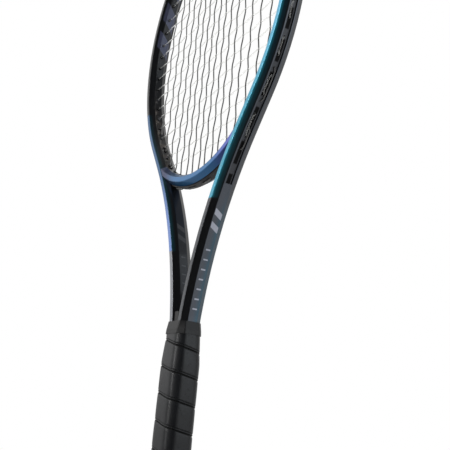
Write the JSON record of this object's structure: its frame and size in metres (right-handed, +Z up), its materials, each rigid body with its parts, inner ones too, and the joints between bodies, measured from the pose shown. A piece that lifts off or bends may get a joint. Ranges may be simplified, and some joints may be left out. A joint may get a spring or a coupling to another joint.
{
  "type": "tennis racket",
  "caption": "Strung adult tennis racket with a box-section carbon hoop, throat bridge, grommet strips, bumper guard, wrapped octagonal grip and a butt cap with a trap door.",
  "frame": {"origin": "centre of the butt face, on the handle's axis", "axes": "+Z runs up the handle to the tip of the hoop, X runs across the string bed, -Y is the front of the racket"},
  "size_m": [0.2764, 0.0334, 0.6858],
  "materials": {
    "painted_graphite": "lacquered carbon fibre tube, black fading through deep blue and violet to bright cyan, glossy clear coat",
    "bridge_paint": "lacquered carbon fibre, mid blue with a violet tint, glossy clear coat",
    "black_nylon": "moulded black nylon, satin",
    "string_gut": "dark grey polyester string, slight sheen",
    "pallet_foam": "moulded grey polyurethane foam",
    "butt_plastic": "fine-textured black plastic",
    "staple_steel": "zinc-plated steel",
    "grip_wrap": "black cushioned synthetic wrap with leather grain and pinholes",
    "collar_rubber": "black rubber, satin",
    "tape": "thin black vinyl tape",
    "plug_foam": "light grey foam"
  },
  "bodies": {
    "racket_frame": {"frame_hairpin": "painted_graphite", "throat_bridge": "bridge_paint", "bumper_guard": "black_nylon", "side_grommet_strip_right": "black_nylon", "side_grommet_strip_left": "black_nylon", "throat_grommet_strip": "black_nylon", "main_strings": "string_gut", "cross_strings": "string_gut", "string_knots": "string_gut", "handle_pallet_front": "pallet_foam", "handle_pallet_rear": "pallet_foam", "butt_cap": "butt_plastic", "butt_cap_staples": "staple_steel", "grip_tack": "staple_steel", "base_grip": "grip_wrap", "finishing_tape": "tape", "grip_collar": "collar_rubber", "shaft_end_plugs": "plug_foam"},
    "butt_cap_door": {"butt_cap_door": "butt_plastic"}
  },
  "joints": [
    {"name": "door_slide", "type": "slide", "parent": "racket_frame", "child": "butt_cap_door", "axis": [0, 0, -1], "range_m": [0, 0.012]}
  ]
}
